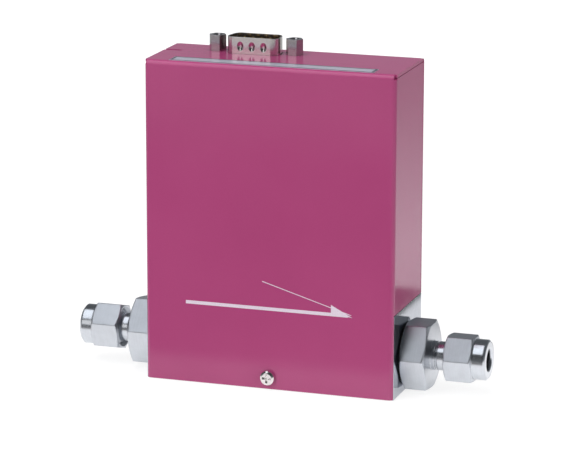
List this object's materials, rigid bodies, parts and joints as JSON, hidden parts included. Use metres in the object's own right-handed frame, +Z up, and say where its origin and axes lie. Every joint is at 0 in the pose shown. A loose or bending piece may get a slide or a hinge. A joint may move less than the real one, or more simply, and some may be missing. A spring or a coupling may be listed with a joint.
{
  "type": "mass flow controller",
  "caption": "Gas mass flow controller: painted sheet cover on a stainless base block, a compression tube fitting at each end and a nine-way plug on top.",
  "frame": {"origin": "middle of the flat mounting face under the base block", "axes": "+X along the gas flow from inlet to outlet, +Y from front to rear, +Z up"},
  "size_m": [0.1324, 0.0344, 0.1062],
  "materials": {
    "cover_paint": "satin",
    "stainless_block": "milled",
    "stainless_turned": "turned",
    "stainless_small": "plain",
    "nickel": "bright",
    "gold_plate": "bright",
    "seal_rubber": "matt",
    "black_plastic": "matt",
    "white_plastic": "matt",
    "copper_winding": "varnished",
    "soft_iron": "zinc plated",
    "board_laminate": "satin",
    "aluminium_housing": "plain",
    "blue_plastic": "satin",
    "cable_grey": "satin",
    "wire_yellow": "satin",
    "flex_amber": "gloss",
    "label_film": "satin"
  },
  "bodies": {
    "controller": {"cover": "cover_paint", "cover_screws": "nickel", "base_block": "stainless_block", "inlet_fitting": "stainless_turned", "outlet_fitting": "stainless_turned", "inlet_nut": "stainless_turned", "outlet_nut": "stainless_turned", "inlet_seal_ring": "seal_rubber", "outlet_seal_ring": "seal_rubber", "inlet_front_ferrule": "stainless_small", "inlet_back_ferrule": "stainless_small", "outlet_front_ferrule": "stainless_small", "outlet_back_ferrule": "stainless_small", "inlet_filter": "stainless_small", "bypass_element": "stainless_small", "sensor_base": "stainless_block", "sensor_seal_rings": "seal_rubber", "sensor_tube": "stainless_small", "upstream_winding": "copper_winding", "downstream_winding": "copper_winding", "sensor_housing": "aluminium_housing", "sensor_screws": "stainless_small", "valve_seat": "stainless_small", "plunger_spring": "stainless_small", "valve_bonnet": "stainless_block", "valve_seal_ring": "seal_rubber", "valve_screws": "stainless_small", "pole_piece": "soft_iron", "coil_bobbin": "white_plastic", "valve_coil": "copper_winding", "coil_yoke": "soft_iron", "coil_nut": "stainless_small", "circuit_board": "board_laminate", "board_chips": "black_plastic", "board_capacitors": "blue_plastic", "board_trimmers": "blue_plastic", "board_header": "black_plastic", "board_brackets": "aluminium_housing", "bracket_screws": "stainless_small", "board_screws": "stainless_small", "connector_shell": "nickel", "connector_insulator": "black_plastic", "connector_pins": "gold_plate", "jackscrews": "nickel", "jackscrew_nuts": "nickel", "ribbon_cable": "cable_grey", "valve_leads": "wire_yellow", "sensor_flex": "flex_amber", "top_label": "label_film"},
    "plunger": {"valve_plunger": "soft_iron", "plunger_seal": "seal_rubber"}
  },
  "joints": [
    {"name": "valve_lift", "type": "slide", "parent": "controller", "child": "plunger", "axis": [0, 0, 1], "range_m": [0, 0.0004], "stiffness_N_per_m": 1500, "springref_m": -0.001, "deforming": ["plunger_spring"]}
  ]
}
